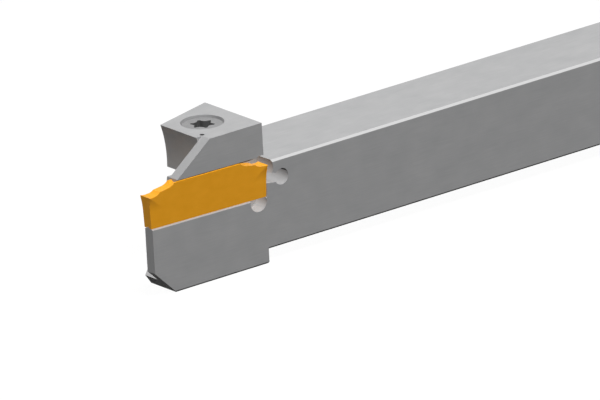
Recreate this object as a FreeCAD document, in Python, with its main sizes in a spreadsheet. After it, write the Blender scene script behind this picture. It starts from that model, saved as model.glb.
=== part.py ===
import FreeCAD, Part
import math
import os
import re
import Sketcher

# Right-hand parting tool holder with a square shank, its double-ended insert and its clamp screw.
# Millimetres and degrees. The origin is on the shank's base face, in the middle of its width, at
# the shoulder where the head begins. +X runs to the shank's rear end and the insert is on -Y.
# A setback is measured back from the blade's front face, an inset from the insert side.

DRIVING_SIZES = [
    # Shank
    ("overall_length", 100.0),
    ("shank_height", 12.0),
    ("shank_width", 12.0),
    ("shank_chamfer", 0.28),
    ("rear_chamfer", 0.5),
    # Head, foot and blade
    ("head_length", 18.75),
    ("head_rise", 5.5),
    ("head_setback", 10.12),
    ("jaw_slope", 37.0),
    ("jaw_tip_setback", 4.5),
    ("foot_drop", 1.95),
    ("nose_chamfer", 3.4),
    ("blade_thickness", 1.6),
    ("side_taper_length", 10.55),
    ("side_taper_depth", 3.1),
    ("nose_width", 3.15),
    # Scoop that clears the workpiece behind the blade
    ("cut_depth", 10.1),
    ("scoop_radius", 13.5),
    ("scoop_height", 12.5),
    # Slot about which the upper jaw flexes, and the hole that ends it
    ("slot_width", 1.32),
    ("slot_angle", 6.8),
    ("slot_overrun", 2.75),
    ("slot_end_height", 9.42),
    ("relief_hole_radius", 1.12),
    # Insert pocket
    ("seat_tilt", 1.1),
    ("seat_height", 7.05),
    ("spare_edge_reach", 0.13),
    ("edge_side_gap", 0.285),
    ("ridge_rise", 0.45),
    ("land_gap", 0.2),
    ("seat_clearance", 0.02),
    ("edge_hole_radius", 1.9),
    ("edge_hole_depth", 3.5),
    ("edge_hole_setback", 18.3),
    ("edge_hole_height", 11.2),
    ("corner_relief_radius", 1.34),
    ("corner_relief_setback", 17.55),
    ("corner_relief_height", 6.85),
    # Cutting insert
    ("insert_length", 19.5),
    ("insert_overhang", 0.3),
    ("edge_width", 2.16),
    ("insert_body_width", 1.47),
    ("edge_height", 4.35),
    ("rail_height", 5.43),
    ("end_clearance", 3.6),
    ("corner_radius", 0.12),
    ("side_relief_height", 1.9),
    ("side_relief_length", 2.4),
    ("chip_groove_length", 1.0),
    ("chip_groove_radius", 1.9),
    ("chip_step_length", 0.9),
    ("chip_step_rise", 0.36),
    ("chip_step_radius", 1.3),
    ("chip_shelf_length", 1.3),
    ("chip_shelf_rise", 0.19),
    ("chip_ramp_length", 1.1),
    ("chip_ramp_radius", 1.9),
    # Clamp screw and its hole
    ("screw_setback", 13.62),
    ("screw_length", 14.0),
    ("thread_diameter", 4.0),
    ("thread_clearance", 0.04),
    ("thread_chamfer", 0.5),
    ("screw_passage", 4.5),
    ("head_diameter", 5.5),
    ("head_rim", 0.45),
    ("head_break", 0.1),
    ("head_cone_angle", 45.0),
    ("head_sink", 0.27),
    ("head_gap", 0.16),
    ("tapped_depth", 8.0),
    ("drill_point_angle", 31.0),
    ("drive_diameter", 3.27),
    ("drive_root_diameter", 2.34),
    ("drive_lobe_radius", 0.26),
    ("drive_depth", 1.6),
    ("drive_turn", 11.0),
    # Small drilled mark on the head
    ("mark_diameter", 0.65),
    ("mark_depth", 0.6),
    ("mark_setback", 10.46),
    ("mark_inset", 2.02),
    # Distance that a cutting outline runs past the face that it opens
    ("cut_overrun", 1.0),
]
SIZE = dict(DRIVING_SIZES)
DRIVE_LOBES = 6
TOLERANCE = 1e-4


def vector(x, y, z=0.0):
    return FreeCAD.Vector(x, y, z)


def number(place):
    """Value of a place: a sum of sizes in words, such as "-head_length + shank_width/2", a pair
    of a value and its expression, or a plain number."""
    if isinstance(place, tuple):
        return place[0]
    if not isinstance(place, str):
        return float(place)
    if place == "0":
        return 0.0
    value = 0.0
    for term in place.replace("+ ", "").replace("- ", "-").split():
        sign = -1.0 if term.startswith("-") else 1.0
        name, _, divisor = term.lstrip("-").partition("/")
        value += sign * SIZE[name] / float(divisor or 1)
    return value


def formula(place):
    """The same place as an expression that reads the sheet."""
    text = place[1] if isinstance(place, tuple) else place
    return re.sub(r"\b[a-z]+_[a-z_]+", r"Sizes.\g<0>", text)


def make_sheet(doc):
    sheet = doc.addObject("Spreadsheet::Sheet", "Sizes")
    for row, (name, value) in enumerate(DRIVING_SIZES, start=1):
        sheet.set(f"A{row}", name)
        sheet.set(f"B{row}", str(value))
        sheet.setAlias(f"B{row}", name)
    doc.recompute()
    return sheet


def make_body(doc, name):
    body = doc.addObject("PartDesign::Body", name)
    body.Label = name
    return body


def make_sketch(body, name, plane_role, offsets=None):
    """Empty sketch on one of the body's own planes. The offsets are sums of sizes."""
    plane = next(item for item in body.Origin.OriginFeatures if item.Role == plane_role)
    sketch = body.newObject("Sketcher::SketchObject", name)
    sketch.AttachmentSupport = [(plane, "")]
    sketch.MapMode = "FlatFace"
    for component, place in (offsets or {}).items():
        sketch.setExpression(f".AttachmentOffset.Base.{component}", formula(place))
    return sketch


def tilt_sketch(sketch, axis, angle_name):
    """Turns the sketch about one axis of its plane by an angle from the sheet."""
    offset = sketch.AttachmentOffset
    offset.Rotation = FreeCAD.Rotation(axis, SIZE[angle_name])
    sketch.AttachmentOffset = offset
    sketch.setExpression(".AttachmentOffset.Rotation.Angle", f"Sizes.{angle_name} * 1 deg")


def arc_between(start, end, radius):
    """Arc from start to end that turns left for a positive radius and right for a negative one."""
    chord = end - start
    half = chord.Length / 2
    lift = math.sqrt(max(radius ** 2 - half ** 2, 0.0))
    normal = vector(-chord.y, chord.x) / chord.Length
    centre = (start + end) / 2 + normal * math.copysign(lift, radius)
    first, last = (start, end) if radius > 0 else (end, start)
    angles = [math.atan2(point.y - centre.y, point.x - centre.x) for point in (first, last)]
    if angles[1] < angles[0]:
        angles[1] += 2 * math.pi
    return Part.ArcOfCircle(Part.Circle(centre, vector(0, 0, 1), abs(radius)), *angles)


def hold(sketch, corner, axis, place, name):
    """Ties one coordinate of a corner to the sheet, or to the sketch's axis when it is 0."""
    if place == "0":
        crossing = {"X": -2, "Y": -1}[axis]
        sketch.addConstraint(Sketcher.Constraint("PointOnObject", *corner, crossing))
        return
    tie = Sketcher.Constraint(f"Distance{axis}", -1, 1, *corner, number(place))
    index = sketch.addConstraint(tie)
    sketch.renameConstraint(index, f"{name}_{axis.lower()}")
    sketch.setExpression(f"Constraints.{name}_{axis.lower()}", formula(place))


def hold_size(sketch, kind, references, text, value, label):
    """Adds a radius, angle or length tie that follows the sheet."""
    index = sketch.addConstraint(Sketcher.Constraint(kind, *references, value))
    sketch.renameConstraint(index, label)
    unit = "1 deg" if kind == "Angle" else "1"
    sketch.setExpression(f"Constraints.{label}", f"({formula(text)}) * {unit}")


def draw_outline(sketch, corners, smooth=()):
    """Closed outline. A corner is (name, x, y) or (name, x, y, radius), where the radius is that
    of the arc that leads to it. What is given in words is held by the sheet. What is given as a
    number is only a start, and an angle or a smooth corner settles it afterwards."""
    points = [vector(number(corner[1]), number(corner[2])) for corner in corners]
    ends = []
    for index, corner in enumerate(corners):
        start, end = points[index - 1], points[index]
        radius = number(corner[3]) if len(corner) > 3 else 0.0
        shape = arc_between(start, end, radius) if radius else Part.LineSegment(start, end)
        sketch.addGeometry(shape, False)
        ends.append((2, 1) if radius < 0 else (1, 2))
    segments = {}
    for index, corner in enumerate(corners):
        following = (index + 1) % len(corners)
        joint = (index, ends[index][1], following, ends[following][0])
        kind = "Tangent" if corner[0] in smooth else "Coincident"
        sketch.addConstraint(Sketcher.Constraint(kind, *joint))
        segments[corner[0]] = index
        for axis, place in zip("XY", corner[1:3]):
            if not isinstance(place, float):
                hold(sketch, (index, ends[index][1]), axis, place, corner[0])
        if len(corner) > 3 and isinstance(corner[3], str):
            name = corner[3].lstrip("-")
            hold_size(sketch, "Radius", (index,), name, SIZE[name], f"{corner[0]}_arc")
    return segments


def draw_circle(sketch, x, y, radius):
    circle = Part.Circle(vector(number(x), number(y)), vector(0, 0, 1), number(radius))
    index = sketch.addGeometry(circle, False)
    hold(sketch, (index, 3), "X", x, "centre")
    hold(sketch, (index, 3), "Y", y, "centre")
    hold_size(sketch, "Radius", (index,), radius, number(radius), "radius")


def pad(body, name, sketch, length):
    """Material on both sides of the sketch, its whole thickness from the sheet."""
    feature = body.newObject("PartDesign::Pad", name)
    feature.Profile = (sketch, [""])
    feature.SideType = "Symmetric"
    feature.setExpression("Length", formula(length))
    body.Document.recompute()
    return feature


def must_shrink(body, before, name):
    body.Document.recompute()
    if not body.Shape.Volume < before - TOLERANCE:
        raise RuntimeError(f"{name} removes nothing from {body.Label}")


def cut(body, name, sketch, depth=None, both_sides=False):
    """Cuts the sketch against its normal, to a depth from the sheet or right through."""
    before = body.Shape.Volume
    feature = body.newObject("PartDesign::Pocket", name)
    feature.Profile = (sketch, [""])
    feature.SideType = "Symmetric" if both_sides else "One side"
    if depth:
        feature.setExpression("Length", formula(depth))
    else:
        feature.Type = "ThroughAll"
    must_shrink(body, before, name)
    return feature


def turned_cut(body, name, sketch):
    """Cuts the half section swept round the sketch's vertical axis."""
    before = body.Shape.Volume
    feature = body.newObject("PartDesign::Groove", name)
    feature.Profile = (sketch, [""])
    feature.ReferenceAxis = (sketch, ["V_Axis"])
    must_shrink(body, before, name)
    return feature


def edge_names(shape, test):
    """Names of the edges whose bounding box passes the test."""
    edges = enumerate(shape.Edges, start=1)
    return [f"Edge{index}" for index, edge in edges if test(edge.BoundBox)]


def near(value, target):
    return abs(value - target) < TOLERANCE


def dress(body, name, kind, edges, property_name, size_name):
    """Chamfer or fillet on named edges of the body's last feature."""
    if not edges:
        raise RuntimeError(f"{name} finds no edge on {body.Label}")
    base = body.Tip
    feature = body.newObject(f"PartDesign::{kind}", name)
    feature.Base = (base, edges)
    feature.setExpression(property_name, f"Sizes.{size_name}")
    body.Document.recompute()
    return feature


def turn_and_place(body, axis, angle_name, components):
    """Puts the finished body in the part's frame. The sheet gives its turn and its place."""
    body.Placement.Rotation = FreeCAD.Rotation(axis, SIZE[angle_name])
    body.setExpression(".Placement.Rotation.Angle", f"Sizes.{angle_name} * 1 deg")
    for component, text in components.items():
        body.setExpression(f".Placement.Base.{component}", formula(text))


# Holder body

HEAD_TOP = "shank_height + head_rise"
INSERT_SIDE = "-shank_width/2"
SHANK_END = "overall_length - insert_overhang - head_length"
POCKET_DEPTH = "blade_thickness/2 + edge_width/2 + edge_side_gap"


def stop_place():
    """X of the wall that the insert stops at, which sets how far its front edge stands out."""
    tilt = math.radians(SIZE["seat_tilt"])
    run = SIZE["insert_length"] - SIZE["spare_edge_reach"]
    rise = SIZE["edge_height"] + SIZE["land_gap"] + SIZE["seat_clearance"]
    front = SIZE["head_length"] + SIZE["insert_overhang"]
    value = run * math.cos(tilt) - rise * math.sin(tilt) - front
    text = ("(insert_length - spare_edge_reach) * cos(seat_tilt)"
            " - (edge_height + land_gap + seat_clearance) * sin(seat_tilt)"
            " - head_length - insert_overhang")
    return value, text


def draw_side(body):
    """Side outline of the shank, head, foot and blade, before the insert pocket is cut."""
    sketch = make_sketch(body, "SideOutline", "XZ_Plane")
    slope = math.radians(SIZE["jaw_slope"])
    tip_drop = (SIZE["head_setback"] - SIZE["jaw_tip_setback"]) * math.tan(slope)
    segments = draw_outline(sketch, [
        ("shoulder", "0", "0"),
        ("foot_heel", "0", "-foot_drop"),
        ("foot_toe", "nose_chamfer - head_length", "-foot_drop"),
        ("blade_low", "-head_length", "nose_chamfer - foot_drop"),
        ("blade_high", "-head_length", "seat_height + rail_height/2"),
        ("jaw_tip_low", "jaw_tip_setback - head_length", "seat_height + rail_height/2"),
        ("jaw_tip_high", "jaw_tip_setback - head_length", number(HEAD_TOP) - tip_drop),
        ("head_front", "head_setback - head_length", HEAD_TOP),
        ("head_rear", "0", HEAD_TOP),
        ("shank_front", "0", "shank_height"),
        ("shank_rear_top", SHANK_END, "shank_height"),
        ("shank_rear_base", SHANK_END, "0"),
    ])
    hold_size(sketch, "Angle", (segments["head_front"],), "jaw_slope", slope, "slope")
    return sketch


def chamfer_shank(body):
    """Small chamfers on the rear end's rim and on the long edges of shank and foot."""
    rear = number(SHANK_END)
    half_width = SIZE["shank_width"] / 2
    levels = {True: (0.0, SIZE["shank_height"]), False: (-SIZE["foot_drop"],)}

    def on_long_edge(box):
        middle = box.Center
        level = any(near(middle.z, height) for height in levels[middle.x > 0])
        return near(abs(middle.y), half_width) and near(box.YLength + box.ZLength, 0.0) and level

    rim = edge_names(body.Shape, lambda box: near(box.XMin, rear))
    dress(body, "RearChamfer", "Chamfer", rim, "Size", "rear_chamfer")
    long_edges = edge_names(body.Shape, on_long_edge)
    dress(body, "LongChamfer", "Chamfer", long_edges, "Size", "shank_chamfer")


def taper_back(body):
    """Narrows the head's back side towards the nose, in two slopes."""
    sketch = make_sketch(body, "BackTaperOutline", "XY_Plane")
    draw_outline(sketch, [
        ("taper_start", "0", "shank_width/2"),
        ("taper_end", "-side_taper_length", "shank_width/2 - side_taper_depth"),
        ("nose_end", "-head_length", "nose_width - shank_width/2"),
        ("nose_front", "-head_length - cut_overrun", "nose_width - shank_width/2"),
        ("outer_front", "-head_length - cut_overrun", "shank_width/2 + cut_overrun"),
        ("outer_rear", "0", "shank_width/2 + cut_overrun"),
    ])
    cut(body, "BackTaper", sketch, both_sides=True)


def scoop_front(body):
    """Round hollow behind the blade, so that a bar as deep as the cut can turn there."""
    offsets = {"z": "shank_width/2 - blade_thickness"}
    sketch = make_sketch(body, "ScoopCircle", "XZ_Plane", offsets)
    draw_circle(sketch, "cut_depth - scoop_radius - head_length", "scoop_height", "scoop_radius")
    cut(body, "Scoop", sketch)


def cut_insert_pocket(body):
    """Pocket with a V ridge on each jaw, cut forwards from the wall that the insert stops at."""
    offsets = {"y": "seat_height", "z": stop_place()}
    sketch = make_sketch(body, "PocketSection", "YZ_Plane", offsets)
    tilt_sketch(sketch, vector(1, 0, 0), "seat_tilt")
    ceiling = "rail_height + land_gap + land_gap + seat_clearance + seat_clearance"
    draw_outline(sketch, [
        ("open_low", "-shank_width/2 - cut_overrun", "0"),
        ("floor_edge", INSERT_SIDE, "0"),
        ("floor_ridge", "blade_thickness/2 - shank_width/2", "ridge_rise"),
        ("floor_back", "blade_thickness - shank_width/2", "0"),
        ("wall_low", f"{POCKET_DEPTH} - shank_width/2", "0"),
        ("wall_high", f"{POCKET_DEPTH} - shank_width/2", ceiling),
        ("ceiling_back", "blade_thickness - shank_width/2", ceiling),
        ("ceiling_ridge", "blade_thickness/2 - shank_width/2", f"{ceiling} - ridge_rise"),
        ("ceiling_edge", INSERT_SIDE, ceiling),
        ("open_high", "-shank_width/2 - cut_overrun", ceiling),
    ])
    cut(body, "InsertPocket", sketch)


def cut_flex_slot(body):
    """Straight slot from the scoop to a relief hole, which leaves a thin hinge at the shank's top."""
    end = "slot_overrun"
    offsets = {"x": end, "y": "slot_end_height"}
    slot = make_sketch(body, "SlotOutline", "XZ_Plane", offsets)
    tilt_sketch(slot, vector(0, 0, -1), "slot_angle")
    draw_outline(slot, [
        ("front_low", "-head_length - slot_overrun", "-slot_width/2"),
        ("rear_low", "0", "-slot_width/2"),
        ("rear_high", "0", "slot_width/2"),
        ("front_high", "-head_length - slot_overrun", "slot_width/2"),
    ])
    cut(body, "FlexSlot", slot, both_sides=True)
    hole = make_sketch(body, "ReliefHoleCircle", "XZ_Plane")
    draw_circle(hole, end, "slot_end_height", "relief_hole_radius")
    cut(body, "ReliefHole", hole, both_sides=True)


def clear_insert_rear(body):
    """Blind hole round the insert's spare cutting edge, and a small relief in the pocket's corner."""
    offsets = {"z": "shank_width/2"}
    edge_hole = make_sketch(body, "EdgeHoleCircle", "XZ_Plane", offsets)
    draw_circle(edge_hole, "edge_hole_setback - head_length", "edge_hole_height", "edge_hole_radius")
    cut(body, "EdgeHole", edge_hole, depth="edge_hole_depth")
    corner = make_sketch(body, "CornerReliefCircle", "XZ_Plane", offsets)
    centre = "corner_relief_setback - head_length"
    draw_circle(corner, centre, "corner_relief_height", "corner_relief_radius")
    cut(body, "CornerRelief", corner, depth=POCKET_DEPTH)


def drill_screw_hole(body):
    """Countersink and passage through the upper jaw, and a blind tapped hole in the lower one."""
    sketch = make_sketch(body, "ScrewHoleSection", "XZ_Plane", {"x": "screw_setback - head_length"})
    seat = f"{HEAD_TOP} - head_sink - head_rim"
    rim_radius = "head_diameter/2 + head_gap"
    thread_radius = "thread_diameter/2 + thread_clearance"
    cone_drop = number(rim_radius) - SIZE["screw_passage"] / 2
    tip_drop = number(thread_radius) * math.tan(math.radians(SIZE["drill_point_angle"]))
    bottom = "slot_end_height + slot_width/2 - tapped_depth"
    segments = draw_outline(sketch, [
        ("mouth_centre", "0", f"{HEAD_TOP} + cut_overrun"),
        ("tip", "0", number(bottom) - tip_drop),
        ("tap_end", thread_radius, bottom),
        ("tap_start", thread_radius, "slot_end_height + slot_width/2"),
        ("passage_end", "screw_passage/2", "slot_end_height + slot_width/2"),
        ("passage_start", "screw_passage/2", number(seat) - cone_drop),
        ("cone_start", rim_radius, seat),
        ("mouth", rim_radius, f"{HEAD_TOP} + cut_overrun"),
    ])
    point = math.radians(SIZE["drill_point_angle"])
    cone = math.radians(SIZE["head_cone_angle"])
    hold_size(sketch, "Angle", (segments["tap_end"],), "drill_point_angle", point, "point")
    hold_size(sketch, "Angle", (segments["cone_start"],), "head_cone_angle", cone, "cone")
    turned_cut(body, "ScrewHole", sketch)


def drill_mark(body):
    """Small drilled mark beside the jaw's slope."""
    offsets = {"x": "mark_setback - head_length", "z": "shank_width/2 - mark_inset"}
    sketch = make_sketch(body, "MarkSection", "XZ_Plane", offsets)
    tip_drop = SIZE["mark_diameter"] / 2 * math.tan(math.radians(SIZE["drill_point_angle"]))
    floor = f"{HEAD_TOP} - mark_depth"
    segments = draw_outline(sketch, [
        ("mouth_centre", "0", f"{HEAD_TOP} + cut_overrun"),
        ("tip", "0", number(floor) - tip_drop),
        ("wall_end", "mark_diameter/2", floor),
        ("mouth", "mark_diameter/2", f"{HEAD_TOP} + cut_overrun"),
    ])
    point = math.radians(SIZE["drill_point_angle"])
    hold_size(sketch, "Angle", (segments["wall_end"],), "drill_point_angle", point, "point")
    turned_cut(body, "Mark", sketch)


def make_holder_body(doc):
    body = make_body(doc, "holder_body")
    pad(body, "Blank", draw_side(body), "shank_width")
    chamfer_shank(body)
    taper_back(body)
    scoop_front(body)
    cut_insert_pocket(body)
    cut_flex_slot(body)
    clear_insert_rear(body)
    drill_screw_hole(body)
    drill_mark(body)
    return body


# Cutting insert. Its own origin is in the middle of its length and width, at its bottom lands.

HALF_EDGE = "edge_width/2"
HALF_BODY = "insert_body_width/2"


def draw_insert_side(body):
    """Side outline with a chip former at each end, both ends alike."""
    sketch = make_sketch(body, "InsertSide", "XZ_Plane")
    step = "chip_groove_length + chip_step_length"
    shelf = f"{step} + chip_shelf_length"
    ramp = f"{shelf} + chip_ramp_length"
    step_height = "edge_height + chip_step_rise"
    shelf_height = f"{step_height} + chip_shelf_rise"
    lean = math.radians(SIZE["end_clearance"])
    foot = SIZE["insert_length"] / 2 - SIZE["edge_height"] * math.tan(lean)

    def front(inward):
        return f"{inward} - insert_length/2"

    def rear(inward):
        return "insert_length/2 - " + inward.replace("+", "-")

    segments = draw_outline(sketch, [
        ("front_foot", -foot, "0"),
        ("rear_foot", foot, "0"),
        ("rear_edge", "insert_length/2", "edge_height"),
        ("rear_groove", rear("chip_groove_length"), "edge_height", "-chip_groove_radius"),
        ("rear_step", rear(step), step_height, "-chip_step_radius"),
        ("rear_shelf", rear(shelf), shelf_height),
        ("rear_ramp", rear(ramp), "rail_height", "-chip_ramp_radius"),
        ("front_ramp", front(ramp), "rail_height"),
        ("front_shelf", front(shelf), shelf_height, "-chip_ramp_radius"),
        ("front_step", front(step), step_height),
        ("front_groove", front("chip_groove_length"), "edge_height", "-chip_step_radius"),
        ("front_edge", "-insert_length/2", "edge_height", "-chip_groove_radius"),
    ])
    upright = math.pi / 2
    rear_face, front_face = segments["rear_edge"], segments["front_foot"]
    hold_size(sketch, "Angle", (rear_face,), "90 - end_clearance", upright - lean, "rear_lean")
    hold_size(sketch, "Angle", (front_face,), "end_clearance - 90", lean - upright, "front_lean")
    return sketch


def relieve_plan(body):
    """Both sides hollowed between the ends, so that only the cutting edges have full width."""
    sketch = make_sketch(body, "PlanRelief", "XY_Plane")
    depth = number(HALF_EDGE) - number(HALF_BODY)
    radius = (SIZE["side_relief_length"] ** 2 + depth ** 2) / (2 * depth)
    draw_outline(sketch, [
        ("front_outer", "-insert_length/2 - cut_overrun", f"{HALF_EDGE} + cut_overrun"),
        ("front_side", "-insert_length/2 - cut_overrun", HALF_EDGE),
        ("front_corner", "-insert_length/2", HALF_EDGE),
        ("front_tangent", "side_relief_length - insert_length/2", HALF_BODY, radius),
        ("rear_tangent", "insert_length/2 - side_relief_length", HALF_BODY),
        ("rear_corner", "insert_length/2", HALF_EDGE, radius),
        ("rear_side", "insert_length/2 + cut_overrun", HALF_EDGE),
        ("rear_outer", "insert_length/2 + cut_overrun", f"{HALF_EDGE} + cut_overrun"),
    ], smooth=("front_tangent", "rear_tangent"))
    mirror_cut(body, "PlanReliefPair", cut(body, "PlanReliefCut", sketch, both_sides=True))


def relieve_section(body):
    """Both sides hollowed below the cutting edges, down to the body's own width."""
    sketch = make_sketch(body, "SectionRelief", "YZ_Plane")
    depth = number(HALF_EDGE) - number(HALF_BODY)
    radius = (SIZE["side_relief_height"] ** 2 + depth ** 2) / (2 * depth)
    draw_outline(sketch, [
        ("edge", HALF_EDGE, "edge_height"),
        ("tangent", HALF_BODY, "edge_height - side_relief_height", radius),
        ("body_low", HALF_BODY, "-cut_overrun"),
        ("outer_low", f"{HALF_EDGE} + cut_overrun", "-cut_overrun"),
        ("outer_high", f"{HALF_EDGE} + cut_overrun", "edge_height"),
    ], smooth=("tangent",))
    mirror_cut(body, "SectionReliefPair", cut(body, "SectionReliefCut", sketch, both_sides=True))


def mirror_cut(body, name, feature):
    """Repeats a cut on the other side of the XZ plane."""
    before = body.Shape.Volume
    plane = next(item for item in body.Origin.OriginFeatures if item.Role == "XZ_Plane")
    mirror = body.newObject("PartDesign::Mirrored", name)
    mirror.Originals = [feature]
    mirror.MirrorPlane = (plane, [""])
    body.Tip = mirror
    must_shrink(body, before, name)


def cut_seat_grooves(body):
    """V grooves in the bottom and in the top rail, with the same flanks as the jaws' ridges."""
    share = (SIZE["ridge_rise"] - SIZE["land_gap"]) / SIZE["ridge_rise"]
    half_width = (SIZE["blade_thickness"] / 2 * share,
                  "blade_thickness/2 * (ridge_rise - land_gap) / ridge_rise")
    other_half = (-half_width[0], f"-({half_width[1]})")
    depth = "ridge_rise - land_gap"
    bottom = ("-cut_overrun", "0", depth)
    top = ("rail_height + cut_overrun", "rail_height", "rail_height - ridge_rise + land_gap")
    for name, (outside, surface, root) in {"BottomGroove": bottom, "TopGroove": top}.items():
        sketch = make_sketch(body, f"{name}Section", "YZ_Plane")
        draw_outline(sketch, [
            ("outer_left", other_half, outside),
            ("outer_right", half_width, outside),
            ("flank_right", half_width, surface),
            ("root", "0", root),
            ("flank_left", other_half, surface),
        ])
        cut(body, name, sketch, both_sides=True)


def make_cutting_insert(doc):
    body = make_body(doc, "cutting_insert")
    pad(body, "InsertBlank", draw_insert_side(body), "edge_width")
    half = SIZE["insert_length"] / 2
    corners = edge_names(body.Shape, lambda box: near(box.ZLength, SIZE["edge_height"])
                         and near(max(abs(box.XMin), abs(box.XMax)), half))
    dress(body, "EdgeCorners", "Fillet", corners, "Radius", "corner_radius")
    relieve_plan(body)
    relieve_section(body)
    cut_seat_grooves(body)
    along = "(insert_length/2 - spare_edge_reach)"
    rise = "(land_gap + seat_clearance)"
    turn_and_place(body, vector(0, 1, 0), "seat_tilt", {
        "x": f"{stop_place()[1]} - {along} * cos(seat_tilt) + {rise} * sin(seat_tilt)",
        "y": "blade_thickness/2 - shank_width/2",
        "z": f"seat_height + {along} * sin(seat_tilt) + {rise} * cos(seat_tilt)",
    })
    return body


# Clamp screw. Its own origin is in the middle of its head's flat face.

def cut_drive(body):
    """Six-lobe recess: one sector with its lobe and two half valleys, repeated round the axis."""
    sketch = make_sketch(body, "DriveSector", "XY_Plane")
    half_step = math.pi / DRIVE_LOBES
    lobe = SIZE["drive_lobe_radius"]
    reach = SIZE["drive_diameter"] / 2 - lobe
    root = SIZE["drive_root_diameter"] / 2
    along = reach * math.cos(half_step)
    valley = (reach ** 2 + root ** 2 - 2 * root * along - lobe ** 2) / (2 * (lobe - root + along))
    centre = vector(math.cos(half_step), math.sin(half_step)) * (root + valley)
    towards = (centre - vector(reach, 0)).normalize()
    contact = vector(reach, 0) + towards * lobe
    middle = vector(math.cos(half_step), math.sin(half_step)) * root
    segments = draw_outline(sketch, [
        ("axis", "0", "0"),
        ("low_valley", middle.x, -middle.y),
        ("low_contact", contact.x, -contact.y, -valley),
        ("high_contact", contact.x, contact.y, lobe),
        ("high_valley", middle.x, middle.y, -valley),
    ], smooth=("low_contact", "high_contact"))
    low_side, low_valley = segments["low_valley"], segments["low_contact"]
    tip, high_valley, high_side = segments["high_contact"], segments["high_valley"], segments["axis"]
    ties = (("PointOnObject", low_valley, 3, low_side), ("PointOnObject", high_valley, 3, high_side),
            ("PointOnObject", tip, 3, -1), ("Equal", low_side, high_side))
    for tie in ties:
        sketch.addConstraint(Sketcher.Constraint(*tie))
    hold(sketch, (tip, 3), "X", "drive_diameter/2 - drive_lobe_radius", "lobe_centre")
    hold_size(sketch, "Radius", (tip,), "drive_lobe_radius", lobe, "lobe_radius")
    hold_size(sketch, "Distance", (low_side,), "drive_root_diameter/2", root, "root_radius")
    sketch.addConstraint(Sketcher.Constraint("Angle", low_side, -half_step))
    sketch.addConstraint(Sketcher.Constraint("Angle", high_side, half_step - math.pi))
    sector = cut(body, "DriveSectorCut", sketch, depth="drive_depth")
    before = body.Shape.Volume
    pattern = body.newObject("PartDesign::PolarPattern", "Drive")
    pattern.Originals = [sector]
    pattern.Axis = (sketch, ["N_Axis"])
    pattern.Angle = 360
    pattern.Occurrences = DRIVE_LOBES
    body.Tip = pattern
    must_shrink(body, before, "Drive")


def make_clamp_screw(doc):
    """Countersunk screw whose cone and thread follow the hole in the holder."""
    body = make_body(doc, "clamp_screw")
    sketch = make_sketch(body, "ScrewSection", "XZ_Plane")
    cone_drop = (SIZE["head_diameter"] - SIZE["thread_diameter"]) / 2
    segments = draw_outline(sketch, [
        ("face_centre", "0", "0"),
        ("tip_centre", "0", "-screw_length"),
        ("tip_edge", "thread_diameter/2 - thread_chamfer", "-screw_length"),
        ("thread_end", "thread_diameter/2", "thread_chamfer - screw_length"),
        ("cone_end", "thread_diameter/2", -SIZE["head_rim"] - cone_drop),
        ("cone_start", "head_diameter/2", "-head_rim"),
        ("rim_top", "head_diameter/2", "-head_break"),
        ("face_edge", "head_diameter/2 - head_break", "0"),
    ])
    cone = math.radians(SIZE["head_cone_angle"])
    hold_size(sketch, "Angle", (segments["cone_start"],), "head_cone_angle", cone, "cone")
    turned = body.newObject("PartDesign::Revolution", "ScrewBlank")
    turned.Profile = (sketch, [""])
    turned.ReferenceAxis = (sketch, ["V_Axis"])
    doc.recompute()
    cut_drive(body)
    turn_and_place(body, vector(0, 0, 1), "drive_turn", {
        "x": "screw_setback - head_length",
        "z": f"{HEAD_TOP} - head_sink",
    })
    return body


def check(doc):
    for item in doc.Objects:
        if "Invalid" in item.State or "Error" in item.State:
            raise RuntimeError(f"{item.Name} is {item.State}")


def main():
    doc = FreeCAD.newDocument("PartingToolHolder")
    make_sheet(doc)
    pieces = [make_holder_body(doc), make_cutting_insert(doc), make_clamp_screw(doc)]
    doc.recompute()
    check(doc)
    os.makedirs("parts", exist_ok=True)
    for piece in pieces:
        if piece.Shape.isNull() or not piece.Shape.isValid():
            raise RuntimeError(f"{piece.Label} has no sound shape")
        piece.Shape.exportStep(f"parts/{piece.Label}.step")
        print(piece.Label, piece.Shape.Volume, piece.Shape.BoundBox)


main()
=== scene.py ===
import math

import bmesh
import bpy
from bpy.props import FloatProperty, FloatVectorProperty, IntProperty, PointerProperty
from mathutils import Matrix, Vector


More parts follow.
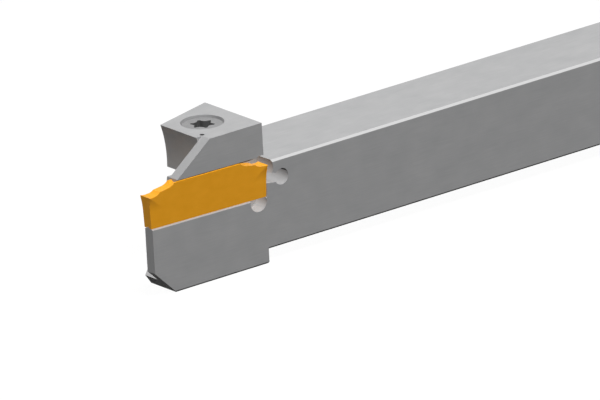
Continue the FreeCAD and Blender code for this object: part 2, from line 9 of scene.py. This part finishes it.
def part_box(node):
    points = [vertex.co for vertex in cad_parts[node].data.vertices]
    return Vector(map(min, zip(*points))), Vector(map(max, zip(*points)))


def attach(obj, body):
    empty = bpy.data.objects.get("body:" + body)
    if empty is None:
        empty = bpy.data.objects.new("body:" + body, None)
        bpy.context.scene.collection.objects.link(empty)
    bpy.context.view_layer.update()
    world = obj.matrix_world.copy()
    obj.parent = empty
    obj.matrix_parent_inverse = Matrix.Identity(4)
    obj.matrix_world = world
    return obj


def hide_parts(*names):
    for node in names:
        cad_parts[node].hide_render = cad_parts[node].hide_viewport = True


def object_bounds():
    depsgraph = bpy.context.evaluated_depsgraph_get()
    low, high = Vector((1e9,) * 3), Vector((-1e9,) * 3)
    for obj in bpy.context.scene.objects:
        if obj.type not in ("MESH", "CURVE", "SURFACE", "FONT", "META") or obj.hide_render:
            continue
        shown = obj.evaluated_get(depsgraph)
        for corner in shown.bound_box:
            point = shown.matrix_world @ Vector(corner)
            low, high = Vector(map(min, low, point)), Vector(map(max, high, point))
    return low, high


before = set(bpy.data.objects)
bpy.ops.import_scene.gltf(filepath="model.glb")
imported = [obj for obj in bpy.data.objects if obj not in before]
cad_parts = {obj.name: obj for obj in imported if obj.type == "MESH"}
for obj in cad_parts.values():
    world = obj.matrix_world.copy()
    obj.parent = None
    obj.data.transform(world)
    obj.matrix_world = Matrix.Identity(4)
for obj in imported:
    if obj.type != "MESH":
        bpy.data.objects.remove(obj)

bl_info = {
    "name": "Parting tool holder",
    "version": (1, 0, 0),
    "blender": (4, 5, 0),
    "location": "3D View > Sidebar > Parting tool",
    "description": "Finishes a parting tool holder, its insert and its screw, and sets a studio",
    "category": "Object",
}

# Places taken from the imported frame, in metres
CAD_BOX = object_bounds()
SCREW_LOW, SCREW_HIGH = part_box("clamp_screw")
SCREW_FOOT = Vector(((SCREW_LOW.x + SCREW_HIGH.x) / 2, 0.0, SCREW_LOW.z))
HEAD_TOP = CAD_BOX[1].z
SHANK_SIDE = CAD_BOX[1].y

# Tolerances of the mesh work, in metres and radians
MERGE_DISTANCE = 1e-7
FLAT_ANGLE = math.radians(0.2)
SHARP_ANGLE = math.radians(25.0)

# How a face is told apart by its normal: a chamfer along the top edges gets a painted highlight,
# and one that looks down gets painted shade, which is the foot's underside below the given height
# in metres and a hollow's ceiling above it
CHAMFER_NORMAL = Vector((0.0, 1.0, 1.0)).normalized()
CHAMFER_TURN = 0.001
UNDERSIDE_NORMAL = -0.4
UNDERSIDE_TOP = 0.002
GROUND, CHAMFER_HIGHLIGHT, UNDERSIDE_SHADE, HOLLOW_SHADE = range(4)

# The flat front of the head, and the depth in which the dimple's faces lie, in metres
LIP_DEPTH = 0.0009
LIP_SUNK = 0.0004
LIP_STEPS = 3
DIMPLE_SIDES = 32
DIMPLE_REACH = 0.001

# The thread: points per turn, widths as shares of the pitch, and how far it sinks into the root
THREAD_POINTS = 48
ROOT_SHARE = 0.88
CREST_SHARE = 0.2
ROOT_OVERLAP = 0.00003

# Finishes: the shader's specular level, the bump's depth in metres, and the blended patterns' range
STEEL_GLOSS = 0.06
# The painted-shade materials take this low specular level, so that their painted shade stays dark
SHADED_GLOSS = 0.004
COATING_GLOSS = 0.1
SCREW_GLOSS = 0.1
BUMP_DEPTH = 2e-6
BLEND_LOW, BLEND_HIGH = 0.35, 0.65
FINE_DETAIL = 2.0
PATCH_DETAIL = 3.0


# Sizes and colours that a user may change


class HolderFinish(bpy.types.PropertyGroup):
    steel_light: FloatVectorProperty(
        name="Light steel", subtype="COLOR", size=3, min=0.0, max=1.0,
        default=(0.445, 0.445, 0.448), description="Colour on the ridges of the ground finish")
    steel_dark: FloatVectorProperty(
        name="Dark steel", subtype="COLOR", size=3, min=0.0, max=1.0,
        default=(0.395, 0.397, 0.402), description="Colour in the valleys of the ground finish")
    grain_width: FloatProperty(
        name="Grain width", unit="LENGTH", default=0.00012,
        description="Width of one grinding line")
    grain_length: FloatProperty(
        name="Grain length", unit="LENGTH", default=0.004,
        description="Length of one grinding line along the shank")
    # Painted highlight: a lighter flat colour on the chamfers along the top edges, in place of
    # their gleam
    chamfer_painted_highlight: FloatVectorProperty(
        name="Chamfer steel", subtype="COLOR", size=3, min=0.0, max=1.0,
        default=(0.66, 0.66, 0.66), description="Colour of the bright chamfers on the top edges")
    # Painted shade: a darker flat colour on the faces that look down, the foot's and the shank's
    # undersides
    underside_painted_shade: FloatVectorProperty(
        name="Underside steel", subtype="COLOR", size=3, min=0.0, max=1.0,
        default=(0.3, 0.3, 0.3), description="Colour of the foot's and the shank's undersides")
    # Painted shade: a near-black flat colour in the dimple and on the ceilings of the hollows
    hollow_painted_shade: FloatVectorProperty(
        name="Hollow steel", subtype="COLOR", size=3, min=0.0, max=1.0,
        default=(0.1, 0.1, 0.1), description="Colour of the dimple and of the hollows' ceilings")
    scoop_centre: FloatVectorProperty(
        name="Scoop centre", subtype="TRANSLATION", size=3, default=(-0.02215, -0.0044, 0.0125),
        description="Centre of the round hollow behind the blade, at the blade's inner side")
    scoop_radius: FloatProperty(
        name="Scoop radius", unit="LENGTH", default=0.0135, description="Radius of that hollow")
    jaw_top: FloatProperty(
        name="Jaw top", unit="LENGTH", default=-0.00863,
        description="Place along the shank where the jaw's slope reaches the head's top")
    jaw_slope: FloatProperty(
        name="Jaw slope", subtype="ANGLE", default=math.radians(37.0),
        description="Slope of the jaw towards its tip")
    dimple: FloatVectorProperty(
        name="Dimple", subtype="TRANSLATION", size=3, default=(-0.00829, -0.00398, 0.0),
        description="Place of the drilled dimple, seen from above")
    dimple_radius: FloatProperty(
        name="Dimple radius", unit="LENGTH", default=0.00033, description="Radius of the dimple")
    dimple_depth: FloatProperty(
        name="Dimple depth", unit="LENGTH", default=0.0005, description="Depth of the dimple")
    taper: FloatProperty(
        name="Taper", default=0.29384,
        description="How fast the head's back side comes in towards the nose")


class InsertFinish(bpy.types.PropertyGroup):
    gold_light: FloatVectorProperty(
        name="Light gold", subtype="COLOR", size=3, min=0.0, max=1.0,
        default=(1.0, 0.44, 0.024), description="Colour of the coating at its brightest")
    gold_dark: FloatVectorProperty(
        name="Dark gold", subtype="COLOR", size=3, min=0.0, max=1.0,
        default=(0.93, 0.395, 0.017), description="Colour of the coating in its fine pores")
    pore_size: FloatProperty(
        name="Pore size", unit="LENGTH", default=0.00006,
        description="Size of the coating's fine speckle")


class ScrewFinish(bpy.types.PropertyGroup):
    steel_light: FloatVectorProperty(
        name="Light steel", subtype="COLOR", size=3, min=0.0, max=1.0,
        default=(0.30, 0.30, 0.302), description="Colour on the turned rings of the head")
    steel_dark: FloatVectorProperty(
        name="Dark steel", subtype="COLOR", size=3, min=0.0, max=1.0,
        default=(0.25, 0.25, 0.253), description="Colour between the turned rings")
    # Painted shade: a near-black flat colour on the faces inside the six-lobe recess
    recess_painted_shade: FloatVectorProperty(
        name="Recess steel", subtype="COLOR", size=3, min=0.0, max=1.0,
        default=(0.1, 0.1, 0.1), description="Colour inside the six-lobe recess")
    ring_width: FloatProperty(
        name="Ring width", unit="LENGTH", default=0.00022, description="Width of the turned rings")
    recess_radius: FloatProperty(
        name="Recess radius", unit="LENGTH", default=0.00172,
        description="Radius that holds the whole recess")
    recess_depth: FloatProperty(
        name="Recess depth", unit="LENGTH", default=0.0018, description="Depth that holds it")
    thread_pitch: FloatProperty(
        name="Thread pitch", unit="LENGTH", default=0.0007,
        description="Distance from one thread turn to the next")
    thread_depth: FloatProperty(
        name="Thread depth", unit="LENGTH", default=0.00043,
        description="Depth of the thread below its crest")
    thread_turns: IntProperty(
        name="Thread turns", default=14, min=1, description="Turns from the screw's tip upwards")
    thread_start: FloatProperty(
        name="Thread start", unit="LENGTH", default=0.0006,
        description="Distance from the screw's tip to the first turn")
    thread_radius: FloatProperty(
        name="Thread radius", unit="LENGTH", default=0.00198,
        description="Radius of the thread's crest")


class StudioSettings(bpy.types.PropertyGroup):
    azimuth: FloatProperty(
        name="Azimuth", subtype="ANGLE", default=math.radians(37.351),
        description="Camera's turn from the insert's side towards the blade")
    elevation: FloatProperty(
        name="Elevation", subtype="ANGLE", default=math.radians(19.165),
        description="Camera's height above the horizon")
    roll: FloatProperty(
        name="Roll", subtype="ANGLE", default=math.radians(-3.235),
        description="Camera's turn about its own line of sight")
    aim: FloatVectorProperty(
        name="Aim", subtype="TRANSLATION", size=3, default=(0.00556, -0.006, 0.005401),
        description="Point in the middle of the picture")
    picture_width: FloatProperty(
        name="Picture width", unit="LENGTH", default=0.078393,
        description="Width that the picture covers at the aim")
    focal_length: FloatProperty(
        name="Focal length", default=1000.0,
        description="Long lens in millimetres, so that parallel edges stay parallel")
    lamp_distance: FloatProperty(
        name="Lamp distance", unit="LENGTH", default=1.5, description="From the aim to each lamp")
    lamp_size: FloatProperty(
        name="Lamp size", unit="LENGTH", default=0.5, description="Side of each square lamp")
    floor_size: FloatProperty(
        name="Floor size", unit="LENGTH", default=6.0, description="Side of the square floor")
    floor_white: FloatProperty(
        name="Floor whiteness", default=0.96, min=0.0, max=1.0,
        description="How pale the floor looks")
    floor_glow: FloatProperty(
        name="Floor glow", default=0.6, min=0.0, max=1.0,
        description="Share of the floor's look that keeps no shadow")
    floor_bounce: FloatProperty(
        name="Floor bounce", default=0.03, min=0.0, max=1.0,
        description="How much of the light the floor gives back to the object")
    room_light: FloatProperty(
        name="Room light", default=0.0, min=0.0,
        description="Even light from all round")


# Nodes and materials


def add_node(tree, kind, inputs=None, **settings):
    """Adds a node, sets it up and fills its inputs, by a value or by another node's output."""
    node = tree.nodes.new(kind)
    for name, value in settings.items():
        setattr(node, name, value)
    for name, value in (inputs or {}).items():
        if isinstance(value, bpy.types.NodeSocket):
            tree.links.new(value, node.inputs[name])
        else:
            node.inputs[name].default_value = value
    return node


def new_material(name):
    material = bpy.data.materials.new(name)
    material.use_nodes = True
    material.node_tree.nodes.clear()
    return material


def object_coordinates(tree, centre=(0.0, 0.0, 0.0), stretch=(1.0, 1.0, 1.0)):
    """Object coordinates with their zero moved to centre, then divided by stretch, in metres."""
    source = add_node(tree, "ShaderNodeTexCoord")
    moved = add_node(tree, "ShaderNodeMapping", {
        "Vector": source.outputs["Object"],
        "Location": [-c / s for c, s in zip(centre, stretch)],
        "Scale": [1.0 / s for s in stretch],
    })
    return moved.outputs["Vector"]


def noise(tree, stretch, detail):
    """Soft noise with cells of the given size along each axis, in metres."""
    node = add_node(tree, "ShaderNodeTexNoise", {
        "Vector": object_coordinates(tree, stretch=stretch), "Scale": 1.0, "Detail": detail})
    return node.outputs["Fac"]


def math_node(tree, operation, first, second):
    node = add_node(tree, "ShaderNodeMath", {0: first, 1: second}, operation=operation)
    return node.outputs[0]


def two_tone(tree, value, dark, light):
    """Runs from the dark colour to the light one over the blended patterns' range."""
    node = add_node(tree, "ShaderNodeValToRGB", {"Fac": value})
    first, last = node.color_ramp.elements
    first.position, last.position = BLEND_LOW, BLEND_HIGH
    first.color, last.color = (*dark, 1.0), (*light, 1.0)
    return node.outputs["Color"]


def satin(tree, fine, colours, share, patch, roughness, relief, gloss):
    """Closes a satin material, whose look is a fine pattern, by its share, over soft patches.

    Patch is the patches' size in metres, and roughness runs from the dark colour to the light one.
    """
    patches = noise(tree, patch, PATCH_DETAIL)
    blend = math_node(tree, "ADD", math_node(tree, "MULTIPLY", fine, share),
                      math_node(tree, "MULTIPLY", patches, 1.0 - share))
    rough = add_node(tree, "ShaderNodeMapRange", {
        "Value": blend, "From Min": BLEND_LOW, "From Max": BLEND_HIGH,
        "To Min": roughness[0], "To Max": roughness[1]})
    bump = add_node(tree, "ShaderNodeBump", {
        "Height": fine, "Distance": BUMP_DEPTH, "Strength": relief})
    shader = add_node(tree, "ShaderNodeBsdfPrincipled", {
        "Base Color": two_tone(tree, blend, *colours), "Roughness": rough.outputs["Result"],
        "Normal": bump.outputs["Normal"], "Metallic": 0.0, "Specular IOR Level": gloss})
    add_node(tree, "ShaderNodeOutputMaterial", {"Surface": shader.outputs["BSDF"]})


def ground_steel(name, finish, colours, gloss=STEEL_GLOSS):
    """Satin steel, ground along the shank, with faint uneven patches."""
    material = new_material(name)
    tree = material.node_tree
    lines = noise(tree, (finish.grain_length, finish.grain_width, finish.grain_width), PATCH_DETAIL)
    satin(tree, lines, colours, share=0.45, patch=(0.004, 0.003, 0.003),
          roughness=(0.5, 0.4), relief=0.25, gloss=gloss)
    return material


def gold_coating(finish):
    """Satin gold coating, finely speckled, on the pressed and ground insert."""
    material = new_material("gold_coating")
    tree = material.node_tree
    speckle = noise(tree, (finish.pore_size,) * 3, FINE_DETAIL)
    satin(tree, speckle, (finish.gold_dark, finish.gold_light), share=0.4,
          patch=(0.002, 0.001, 0.001), roughness=(0.46, 0.36), relief=0.2, gloss=COATING_GLOSS)
    return material


def turned_steel(name, finish, colours):
    """Grey steel with the fine rings of turning about the screw's axis."""
    material = new_material(name)
    tree = material.node_tree
    centred = object_coordinates(tree, SCREW_FOOT, (finish.ring_width,) * 3)
    rings = add_node(tree, "ShaderNodeTexWave", {
        "Vector": centred, "Scale": 1.0, "Distortion": 0.6, "Detail": FINE_DETAIL},
        wave_type="RINGS", rings_direction="Z").outputs["Fac"]
    satin(tree, rings, colours, share=0.35, patch=(0.0008, 0.0008, 0.0008),
          roughness=(0.48, 0.38), relief=0.2, gloss=SCREW_GLOSS)
    return material


def put_material(piece, material):
    """Gives every face of the piece one material."""
    piece.data.materials.clear()
    piece.data.materials.append(material)
    piece.data.polygons.foreach_set("material_index", [0] * len(piece.data.polygons))


# Meshes


def merged_copy(name):
    """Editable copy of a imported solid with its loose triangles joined."""
    mesh = bmesh.new()
    mesh.from_mesh(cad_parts[name].data)
    bmesh.ops.remove_doubles(mesh, verts=mesh.verts, dist=MERGE_DISTANCE)
    return mesh


def join_flat_faces(mesh):
    bmesh.ops.dissolve_limit(mesh, angle_limit=FLAT_ANGLE, verts=mesh.verts, edges=mesh.edges)


def as_piece(name, mesh, materials):
    """Object from an editable mesh, smooth over its curves and sharp at its edges."""
    data = bpy.data.meshes.new(name)
    mesh.to_mesh(data)
    mesh.free()
    if "custom_normal" in data.attributes:
        data.attributes.remove(data.attributes["custom_normal"])
    data.shade_smooth()
    data.set_sharp_from_angle(angle=SHARP_ANGLE)
    for material in materials:
        data.materials.append(material)
    piece = bpy.data.objects.new(name, data)
    bpy.context.collection.objects.link(piece)
    return piece


def settled_mesh(piece):
    """Plain mesh of the piece with its modifiers worked in. The piece itself goes."""
    graph = bpy.context.evaluated_depsgraph_get()
    data = bpy.data.meshes.new_from_object(piece.evaluated_get(graph))
    bpy.data.objects.remove(piece)
    return data


def stand_for(piece, node):
    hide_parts(node)
    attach(piece, "root")


def head_lip(finish):
    """The part of the head's flat top that lies ahead of the jaw's slope, up to the scoop."""
    top = HEAD_TOP
    centre, radius = finish.scoop_centre, finish.scoop_radius
    # The slope's line meets the scoop's circle at the height where both have the same x.
    run = 1.0 / math.tan(finish.jaw_slope)
    reach = finish.jaw_top - (top - centre.z) * run - centre.x
    square = 1.0 + run ** 2
    meeting = centre.z + (math.sqrt(square * radius ** 2 - reach ** 2) - reach * run) / square
    rear = finish.jaw_top + LIP_SUNK
    heights = [top + (meeting - top) * step / LIP_STEPS for step in range(LIP_STEPS + 1)]
    section = [(centre.x + math.sqrt(radius ** 2 - (height - centre.z) ** 2), height)
               for height in heights]
    section += [(rear, top - LIP_DEPTH), (rear, top)]
    mesh = bmesh.new()
    near = [mesh.verts.new((x, centre.y, z)) for x, z in section]
    far = [mesh.verts.new((x, SHANK_SIDE + x * finish.taper, z)) for x, z in section]
    mesh.faces.new(near)
    mesh.faces.new(far[::-1])
    for index in range(len(section)):
        mesh.faces.new((near[index - 1], far[index - 1], far[index], near[index]))
    bmesh.ops.recalc_face_normals(mesh, faces=mesh.faces)
    return mesh


def dimple_cutter(finish):
    """Round plug that drills the dimple again where the lip has filled it."""
    mesh = bmesh.new()
    place = Matrix.Translation((finish.dimple.x, finish.dimple.y, HEAD_TOP))
    bmesh.ops.create_cone(
        mesh, cap_ends=True, segments=DIMPLE_SIDES, radius1=finish.dimple_radius,
        radius2=finish.dimple_radius, depth=2 * finish.dimple_depth, matrix=place)
    return mesh


def holder_material(face, finish):
    """Material index of a holder face: ground steel, a painted highlight on a chamfer, or painted
    shade on an underside or in a hollow.
    """
    normal, centre = face.normal, face.calc_center_median()
    tilt = Vector((0.0, abs(normal.y), normal.z)).normalized()
    if abs(normal.x) < CHAMFER_TURN and tilt.dot(CHAMFER_NORMAL) > 1.0 - CHAMFER_TURN:
        return CHAMFER_HIGHLIGHT
    reach = (centre - Vector(finish.dimple)).to_2d().length
    drilled = reach < finish.dimple_radius and centre.z > HEAD_TOP - DIMPLE_REACH
    looks_down = normal.z < UNDERSIDE_NORMAL
    # The dimple and the ceilings of the hollows take painted shade, and the undersides lower down
    # too
    if drilled or (looks_down and centre.z > UNDERSIDE_TOP):
        return HOLLOW_SHADE
    return UNDERSIDE_SHADE if looks_down else GROUND


def finished_holder(finish, materials):
    """Holder with the lip joined on, a painted highlight on the chamfers along its top, and painted
    shade on its undersides, in its dimple and on its hollows' ceilings.
    """
    holder = merged_copy("holder_body")
    join_flat_faces(holder)
    piece = as_piece("holder_raw", holder, materials)
    tools = (("UNION", as_piece("head_lip", head_lip(finish), materials)),
             ("DIFFERENCE", as_piece("dimple", dimple_cutter(finish), materials)))
    for operation, tool in tools:
        step = piece.modifiers.new(tool.name, "BOOLEAN")
        step.operation, step.solver, step.object = operation, "EXACT", tool
    joined = bmesh.new()
    joined.from_mesh(settled_mesh(piece))
    for _, tool in tools:
        bpy.data.objects.remove(tool)
    bmesh.ops.remove_doubles(joined, verts=joined.verts, dist=MERGE_DISTANCE)
    join_flat_faces(joined)
    for face in joined.faces:
        face.material_index = holder_material(face, finish)
    return as_piece("finished_holder", joined, materials)


def thread_tree():
    """Geometry nodes for a thread: a trapezoid section swept along a spiral."""
    tree = bpy.data.node_groups.new("thread_turns", "GeometryNodeTree")
    sockets = {"Geometry": "Geometry", "Turns": "Float", "Pitch": "Float", "Crest Radius": "Float",
               "Depth": "Float", "Foot": "Vector", "Material": "Material"}
    for name, kind in sockets.items():
        tree.interface.new_socket(name, in_out="INPUT", socket_type=f"NodeSocket{kind}")
    tree.interface.new_socket("Geometry", in_out="OUTPUT", socket_type="NodeSocketGeometry")
    given = add_node(tree, "NodeGroupInput").outputs
    half_depth = math_node(tree, "MULTIPLY", given["Depth"], 0.5)
    radius = math_node(tree, "SUBTRACT", given["Crest Radius"], half_depth)
    height = math_node(tree, "MULTIPLY", given["Turns"], given["Pitch"])
    root_width = math_node(tree, "MULTIPLY", given["Pitch"], ROOT_SHARE)
    crest_width = math_node(tree, "MULTIPLY", given["Pitch"], CREST_SHARE)
    spiral = add_node(tree, "GeometryNodeCurveSpiral", {
        "Resolution": THREAD_POINTS, "Rotations": given["Turns"], "Start Radius": radius,
        "End Radius": radius, "Height": height})
    upright = add_node(
        tree, "GeometryNodeSetCurveNormal", {"Curve": spiral.outputs[0]}, mode="Z_UP")
    section = add_node(tree, "GeometryNodeCurvePrimitiveQuadrilateral", {
        "Height": given["Depth"], "Bottom Width": root_width, "Top Width": crest_width,
        "Offset": 0.0}, mode="TRAPEZOID")
    turned = add_node(tree, "GeometryNodeTransform", {
        "Geometry": section.outputs[0], "Rotation": (0.0, 0.0, math.radians(-90.0))})
    swept = add_node(tree, "GeometryNodeCurveToMesh", {
        "Curve": upright.outputs[0], "Profile Curve": turned.outputs[0], "Fill Caps": True})
    placed = add_node(tree, "GeometryNodeTransform", {
        "Geometry": swept.outputs[0], "Translation": given["Foot"]})
    real = add_node(tree, "GeometryNodeRealizeInstances", {"Geometry": placed.outputs[0]})
    coated = add_node(tree, "GeometryNodeSetMaterial", {
        "Geometry": real.outputs[0], "Material": given["Material"]})
    add_node(tree, "NodeGroupOutput", {"Geometry": coated.outputs[0]})
    return tree


def thread_mesh(finish, material):
    """Thread turns as a plain mesh, on the screw's axis."""
    base = bpy.data.objects.new("thread_base", bpy.data.meshes.new("thread_base"))
    bpy.context.collection.objects.link(base)
    turns = base.modifiers.new("thread", "NODES")
    turns.node_group = thread_tree()
    values = {"Turns": float(finish.thread_turns), "Pitch": finish.thread_pitch,
              "Crest Radius": finish.thread_radius, "Depth": finish.thread_depth,
              "Foot": SCREW_FOOT + Vector((0.0, 0.0, finish.thread_start)), "Material": material}
    for item in turns.node_group.interface.items_tree:
        if item.in_out == "INPUT" and item.name in values:
            turns[item.identifier] = values[item.name]
    return settled_mesh(base)


def threaded_screw(finish, materials):
    """Screw whose shaft is cut down to the thread's root, with the thread turns on it and painted
    shade in its recess.
    """
    screw = merged_copy("clamp_screw")
    # Faces inside the six-lobe recess take the painted-shade material
    for face in screw.faces:
        centre = face.calc_center_median()
        reach = (centre - SCREW_FOOT).to_2d().length
        depth = SCREW_HIGH.z - centre.z
        inside = reach < finish.recess_radius and MERGE_DISTANCE < depth < finish.recess_depth
        face.material_index = int(inside)
    root = finish.thread_radius - finish.thread_depth + ROOT_OVERLAP
    top = SCREW_FOOT.z + finish.thread_start + (finish.thread_turns + 1) * finish.thread_pitch
    for height in (top, top - finish.thread_pitch / 2):
        everything = [*screw.verts, *screw.edges, *screw.faces]
        bmesh.ops.bisect_plane(screw, geom=everything, dist=MERGE_DISTANCE,
                               plane_co=(0.0, 0.0, height), plane_no=(0.0, 0.0, 1.0))
    for vert in screw.verts:
        offset = Vector((vert.co.x - SCREW_FOOT.x, vert.co.y - SCREW_FOOT.y, 0.0))
        if vert.co.z < top - finish.thread_pitch / 4 and offset.length > root:
            vert.co -= offset * (1.0 - root / offset.length)
    thread = thread_mesh(finish, materials[0])
    screw.from_mesh(thread)
    bpy.data.meshes.remove(thread)
    return as_piece("threaded_screw", screw, materials)


# Studio


LAMPS = (
    # name, azimuth and elevation as seen from the aim (degrees), power (watts), shadow
    ("side_lamp", 0.0, 45.0, 13.5, False),
    ("front_lamp", -90.0, 57.0, 10.6, False),
    ("end_lamp", 105.0, 38.0, 4.2, False),
    ("far_side_lamp", 180.0, 12.0, 9.0, False),
    ("shadow_lamp", 20.0, 60.0, 3.5, True),
)


def direction(azimuth, elevation):
    """Unit vector from the object to a place in the room. Azimuth 0 is -Y and 90 degrees is +X."""
    flat = math.cos(elevation)
    return Vector((math.sin(azimuth) * flat, -math.cos(azimuth) * flat, math.sin(elevation)))


def make_lamp(studio, name, azimuth, elevation, power, shadow):
    """Square soft lamp. Only a lamp with a shadow darkens the floor and the object's hollows."""
    away = direction(math.radians(azimuth), math.radians(elevation))
    data = bpy.data.lights.new(name, "AREA")
    data.size = studio.lamp_size
    data.energy = power
    data.use_shadow = shadow
    lamp = bpy.data.objects.new(name, data)
    lamp.location = Vector(studio.aim) + away * studio.lamp_distance
    lamp.rotation_euler = away.to_track_quat("Z", "Y").to_euler()
    bpy.context.collection.objects.link(lamp)


def seen_directly(tree):
    """1 for what the camera sees, also by reflection or through glass, and 0 for soft light."""
    path = add_node(tree, "ShaderNodeLightPath")
    mirrored = math_node(tree, "MAXIMUM", path.outputs["Is Glossy Ray"],
                         path.outputs["Is Transmission Ray"])
    return math_node(tree, "MAXIMUM", path.outputs["Is Camera Ray"], mirrored)


def pale_floor_material(studio):
    """White floor that keeps a soft shadow and gives little light back to the object."""
    material = new_material("pale_floor")
    tree = material.node_tree
    white = studio.floor_white
    grey = studio.floor_bounce
    shadowed = add_node(tree, "ShaderNodeBsdfDiffuse", {"Color": (white, white, white, 1.0)})
    glow = add_node(tree, "ShaderNodeEmission", {"Color": (1.0, 1.0, 1.0, 1.0), "Strength": 1.0})
    look = add_node(tree, "ShaderNodeMixShader", {
        "Fac": studio.floor_glow, 1: shadowed.outputs[0], 2: glow.outputs[0]})
    bounce = add_node(tree, "ShaderNodeBsdfDiffuse", {"Color": (grey, grey, grey, 1.0)})
    both = add_node(tree, "ShaderNodeMixShader", {
        "Fac": seen_directly(tree), 1: bounce.outputs[0], 2: look.outputs[0]})
    add_node(tree, "ShaderNodeOutputMaterial", {"Surface": both.outputs[0]})
    return material


def make_floor(studio):
    half = studio.floor_size / 2
    corners = [(x * half, y * half, CAD_BOX[0].z) for x, y in ((-1, -1), (1, -1), (1, 1), (-1, 1))]
    mesh = bpy.data.meshes.new("floor")
    mesh.from_pydata(corners, [], [range(len(corners))])
    floor = bpy.data.objects.new("floor", mesh)
    bpy.context.collection.objects.link(floor)
    put_material(floor, pale_floor_material(studio))


def make_room(studio):
    """White room for the eye, which by itself gives the object no more than the room light."""
    world = bpy.data.worlds.new("room")
    bpy.context.scene.world = world
    world.use_nodes = True
    tree = world.node_tree
    tree.nodes.clear()
    white = add_node(tree, "ShaderNodeBackground", {"Color": (1.0, 1.0, 1.0, 1.0), "Strength": 1.0})
    dim = add_node(tree, "ShaderNodeBackground", {
        "Color": (1.0, 1.0, 1.0, 1.0), "Strength": studio.room_light})
    both = add_node(tree, "ShaderNodeMixShader", {
        "Fac": seen_directly(tree), 1: dim.outputs[0], 2: white.outputs[0]})
    add_node(tree, "ShaderNodeOutputWorld", {"Surface": both.outputs[0]})


def make_camera(studio):
    """Camera on a long lens, aimed at one point of the near side."""
    towards = direction(-studio.azimuth, studio.elevation)
    level_right = Vector((math.cos(studio.azimuth), -math.sin(studio.azimuth), 0.0))
    level_up = towards.cross(level_right)
    right = level_right * math.cos(studio.roll) + level_up * math.sin(studio.roll)
    up = towards.cross(right)
    data = bpy.data.cameras.new("camera")
    data.lens = studio.focal_length
    distance = studio.picture_width * data.lens / data.sensor_width
    data.clip_start, data.clip_end = distance / 10, distance * 10
    camera = bpy.data.objects.new("camera", data)
    turn = Matrix((right, up, towards)).transposed().to_4x4()
    camera.matrix_world = Matrix.Translation(Vector(studio.aim) + towards * distance) @ turn
    bpy.context.collection.objects.link(camera)
    bpy.context.scene.camera = camera


# Operators, one for each piece and one for the stage


class FinishHolder(bpy.types.Operator):
    """Gives the holder body the flat front of its head, its ground steel, and its painted
    highlights and painted shade
    """

    bl_idname = "parting_tool.finish_holder"
    bl_label = "Finish holder body"

    def execute(self, context):
        finish = context.scene.holder_finish
        # In the order of the slots: ground steel, painted highlight on the chamfers, painted shade
        # on the undersides, painted shade in the hollows
        materials = [
            ground_steel("ground_steel", finish, (finish.steel_dark, finish.steel_light)),
            ground_steel("painted_chamfer_highlight", finish, (finish.chamfer_painted_highlight, finish.chamfer_painted_highlight)),
            ground_steel(
                "underside", finish, (finish.underside_painted_shade, finish.underside_painted_shade), SHADED_GLOSS),
            ground_steel("hollow", finish, (finish.hollow_painted_shade, finish.hollow_painted_shade), SHADED_GLOSS),
        ]
        stand_for(finished_holder(finish, materials), "holder_body")
        return {"FINISHED"}


class FinishInsert(bpy.types.Operator):
    """Gives the cutting insert its gold coating"""

    bl_idname = "parting_tool.finish_insert"
    bl_label = "Finish cutting insert"

    def execute(self, context):
        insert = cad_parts["cutting_insert"]
        put_material(insert, gold_coating(context.scene.insert_finish))
        return {"FINISHED"}


class FinishScrew(bpy.types.Operator):
    """Gives the clamp screw its thread, its turned steel and painted shade in its recess"""

    bl_idname = "parting_tool.finish_screw"
    bl_label = "Finish clamp screw"

    def execute(self, context):
        finish = context.scene.screw_finish
        materials = [
            turned_steel("turned_steel", finish, (finish.steel_dark, finish.steel_light)),
            turned_steel("painted_recess_shade", finish, (finish.recess_painted_shade, finish.recess_painted_shade)),
        ]
        stand_for(threaded_screw(finish, materials), "clamp_screw")
        return {"FINISHED"}


class SetStudio(bpy.types.Operator):
    """Sets the floor, the room, the lamps and the camera"""

    bl_idname = "parting_tool.set_studio"
    bl_label = "Set studio"

    def execute(self, context):
        studio = context.scene.studio_settings
        make_floor(studio)
        make_room(studio)
        for lamp in LAMPS:
            make_lamp(studio, *lamp)
        make_camera(studio)
        context.scene.view_settings.view_transform = "Standard"
        return {"FINISHED"}


class PartingToolPanel(bpy.types.Panel):
    bl_idname = "VIEW3D_PT_parting_tool"
    bl_label = "Parting tool"
    bl_space_type = "VIEW_3D"
    bl_region_type = "UI"
    bl_category = "Parting tool"

    def draw(self, context):
        for title, settings, operators in SECTIONS:
            box = self.layout.box()
            box.label(text=title)
            group = getattr(context.scene, settings)
            for name in group.__annotations__:
                box.prop(group, name)
            for operator in operators:
                box.operator(operator.bl_idname)


SECTIONS = (
    ("Holder body", "holder_finish", (FinishHolder,)),
    ("Cutting insert", "insert_finish", (FinishInsert,)),
    ("Clamp screw", "screw_finish", (FinishScrew,)),
    ("Studio", "studio_settings", (SetStudio,)),
)
SETTINGS = {
    "holder_finish": HolderFinish,
    "insert_finish": InsertFinish,
    "screw_finish": ScrewFinish,
    "studio_settings": StudioSettings,
}
OPERATORS = [operator for section in SECTIONS for operator in section[2]]
CLASSES = (*SETTINGS.values(), *OPERATORS, PartingToolPanel)


def register():
    for item in CLASSES:
        bpy.utils.register_class(item)
    for name, group in SETTINGS.items():
        setattr(bpy.types.Scene, name, PointerProperty(type=group))


def unregister():
    for name in SETTINGS:
        delattr(bpy.types.Scene, name)
    for item in reversed(CLASSES):
        bpy.utils.unregister_class(item)


def main():
    register()
    for operator in OPERATORS:
        group, name = operator.bl_idname.split(".")
        getattr(getattr(bpy.ops, group), name)()


if __name__ == "__main__":
    main()
